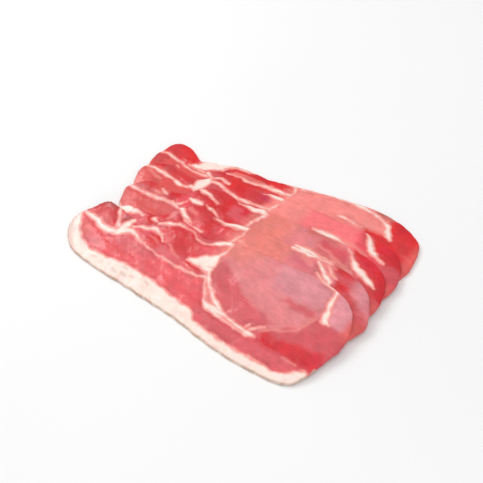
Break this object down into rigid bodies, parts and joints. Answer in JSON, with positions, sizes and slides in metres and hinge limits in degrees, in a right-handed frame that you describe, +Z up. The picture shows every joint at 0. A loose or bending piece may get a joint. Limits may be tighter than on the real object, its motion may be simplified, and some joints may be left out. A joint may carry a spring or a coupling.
{
  "type": "shingled stack of bacon rashers",
  "caption": "Overlapping raw middle bacon rashers, each with a round loin eye, a streaky tail and a rind edge, laid in a low shingled stack.",
  "frame": {"origin": "middle of the footprint, on the table", "axes": "+X from the rashers' tails towards their loin eyes, +Y from the front rasher's rind towards the hindmost rasher, +Z up"},
  "size_m": [0.2596, 0.1952, 0.0152],
  "materials": {
    "bacon": "moist raw cured pork, pink-red meat with cream fat"
  },
  "bodies": {
    "root": {"rasher_1": "bacon", "rasher_2": "bacon", "rasher_3": "bacon", "rasher_4": "bacon", "rasher_5": "bacon"}
  },
  "joints": []
}
